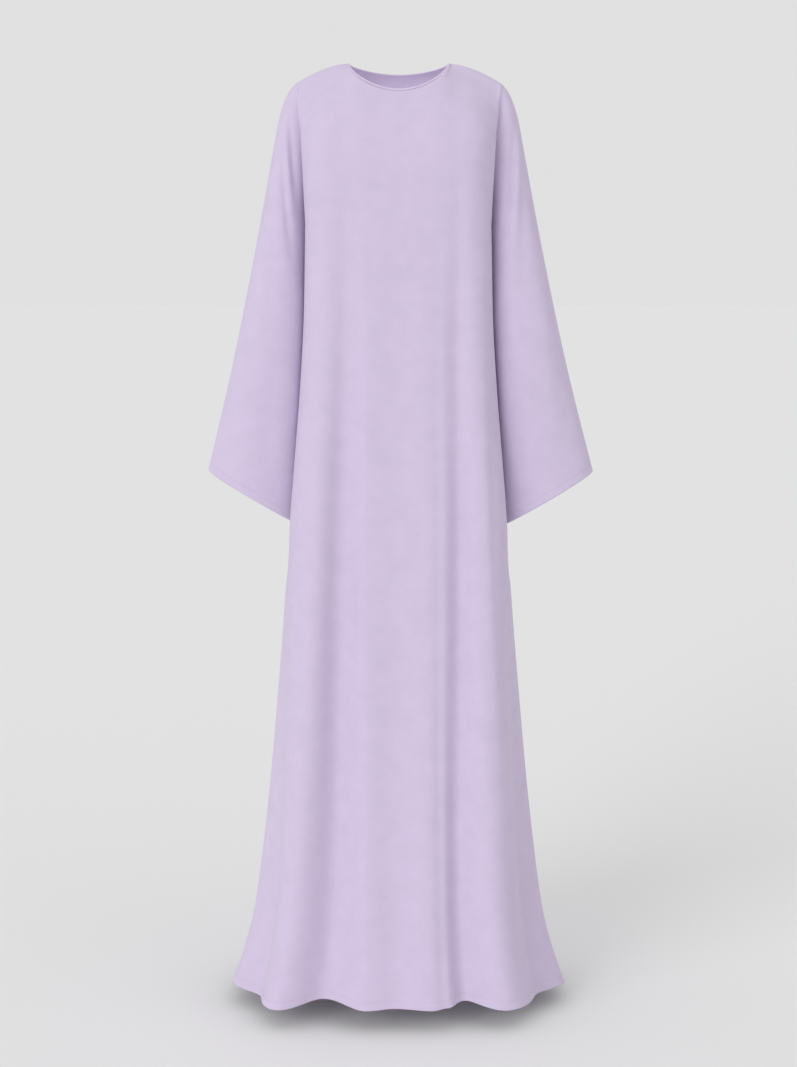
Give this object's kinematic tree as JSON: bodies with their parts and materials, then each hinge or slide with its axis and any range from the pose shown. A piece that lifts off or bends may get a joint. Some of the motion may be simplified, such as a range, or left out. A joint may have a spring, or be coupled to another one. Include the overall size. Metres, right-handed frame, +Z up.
{
  "type": "abaya",
  "caption": "Plain floor-length abaya, filled out as worn, with a round bound neck, long wide sleeves, an A-line body and a waved hem.",
  "frame": {"origin": "midway between the two neck points, where the shoulder seams meet the neck edge", "axes": "+Z up along the garment's length, +X to the wearer's left, -Y to the front"},
  "size_m": [0.636, 0.3857, 1.5244],
  "materials": {
    "cloth": "matte lilac crepe",
    "binding": "matte lilac crepe, cut on the bias",
    "thread": "matte lilac sewing thread"
  },
  "bodies": {
    "root": {"front_panel": "cloth", "back_panel": "cloth", "sleeve_left": "cloth", "sleeve_right": "cloth", "neck_binding": "binding"}
  },
  "joints": []
}
